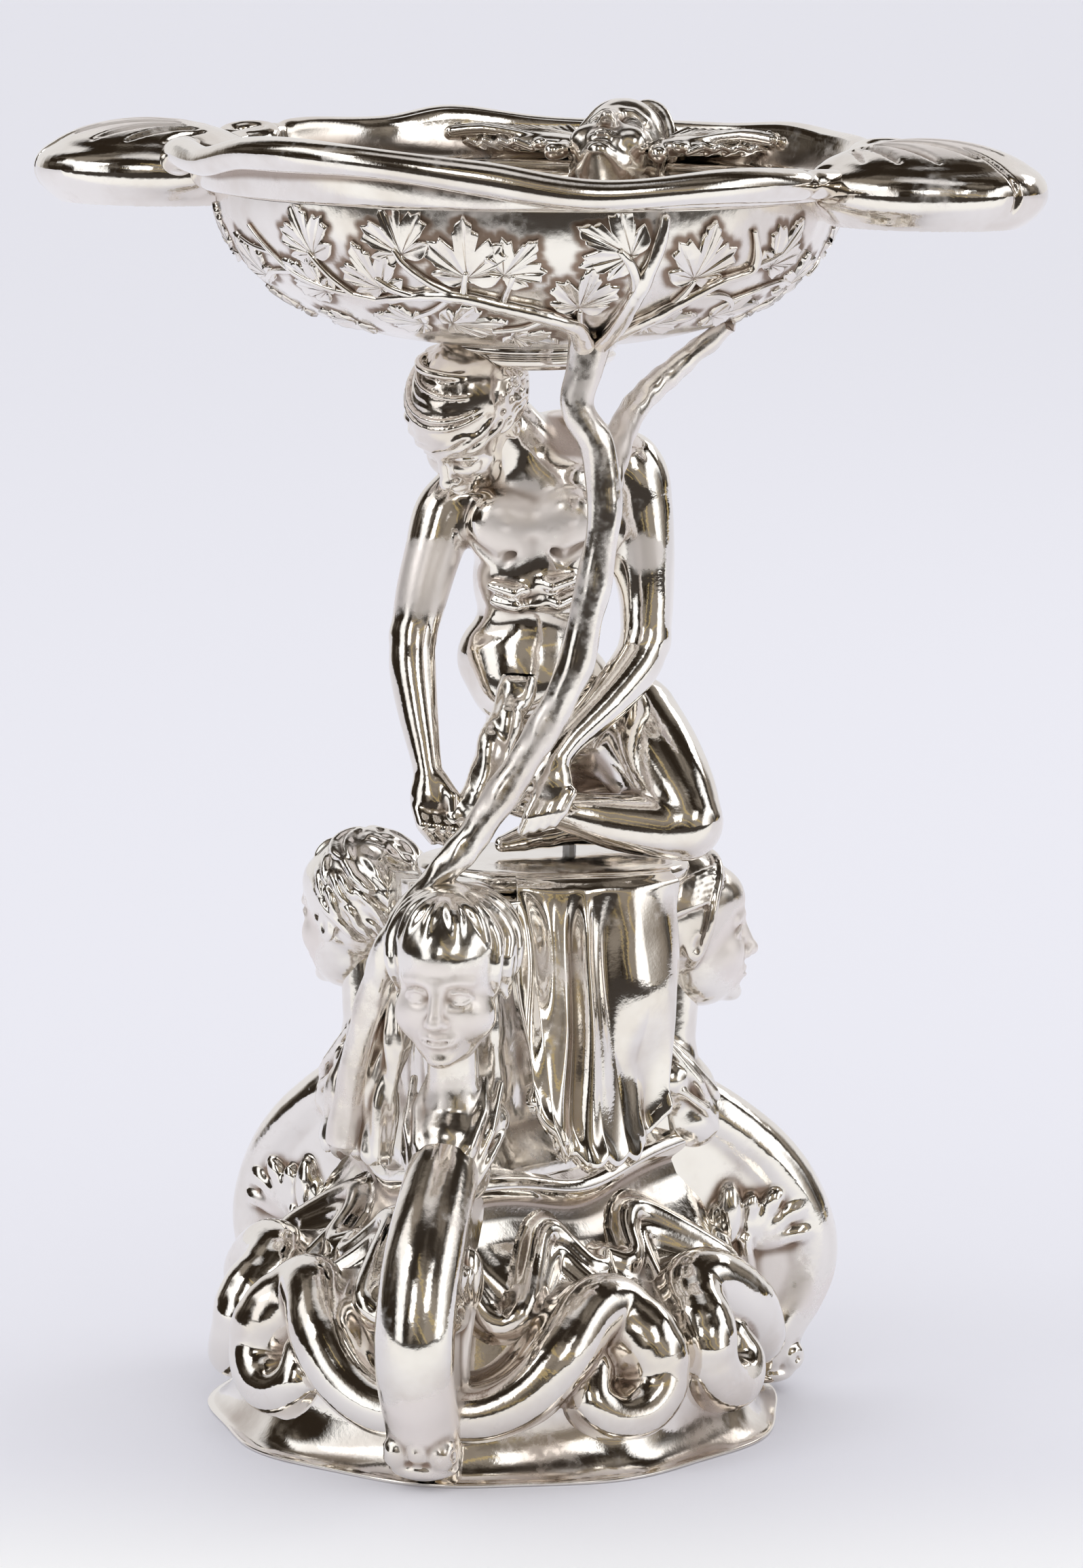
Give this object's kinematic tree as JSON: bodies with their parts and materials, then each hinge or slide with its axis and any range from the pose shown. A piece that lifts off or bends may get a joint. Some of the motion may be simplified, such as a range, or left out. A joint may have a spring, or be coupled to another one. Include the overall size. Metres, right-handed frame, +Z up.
{
  "type": "figural comport",
  "caption": "Silver-plated comport: a kneeling figure and a vine trunk hold a round bowl with a wavy, handled border above a base of scroll legs with herm busts.",
  "frame": {"origin": "on the table, below the middle of the dish", "axes": "+Z up from the table to the dish; X along the two handles; -Y towards the front leg and the vine trunk"},
  "size_m": [0.3046, 0.2243, 0.391],
  "materials": {
    "silver": "polished silver plate",
    "aged_silver": "silver plate, satin, with tarnish in the recesses",
    "brass": "bare brass",
    "steel": "plain steel"
  },
  "bodies": {
    "root": {"foot_skirt": "silver", "bell_panels": "silver", "rock_column": "aged_silver", "plinth_plate": "aged_silver", "front_leg": "silver", "front_bust": "aged_silver", "front_head": "aged_silver", "front_right_tail": "silver", "front_left_tail": "silver", "front_right_ribbon": "silver", "front_left_ribbon": "silver", "right_leg": "silver", "right_bust": "aged_silver", "right_head": "aged_silver", "right_right_tail": "silver", "right_left_tail": "silver", "right_right_ribbon": "silver", "right_left_ribbon": "silver", "left_leg": "silver", "left_bust": "aged_silver", "left_head": "aged_silver", "left_right_tail": "silver", "left_left_tail": "silver", "left_right_ribbon": "silver", "left_left_ribbon": "silver", "drapery": "silver", "figure_body": "silver", "figure_head": "silver", "head_pad": "silver", "right_arm": "silver", "left_arm": "silver", "twisted_cloth": "aged_silver", "vine_trunk": "silver", "back_branch": "silver", "bark_root": "aged_silver", "seat_collar": "silver", "bowl": "silver", "left_crown_branch": "silver", "right_crown_branch": "silver", "thin_crown_branch": "silver", "dish_border": "silver", "right_handle": "silver", "left_handle": "silver", "mask": "aged_silver", "right_fan": "silver", "left_fan": "silver", "tie_rod": "steel", "bridge_bar": "steel", "rod_washer": "steel", "rod_nut": "brass", "front_leg_screw": "steel", "right_leg_screw": "steel", "left_leg_screw": "steel", "figure_screw": "steel", "dish_bolt": "brass", "head_pin": "steel"}
  },
  "joints": []
}
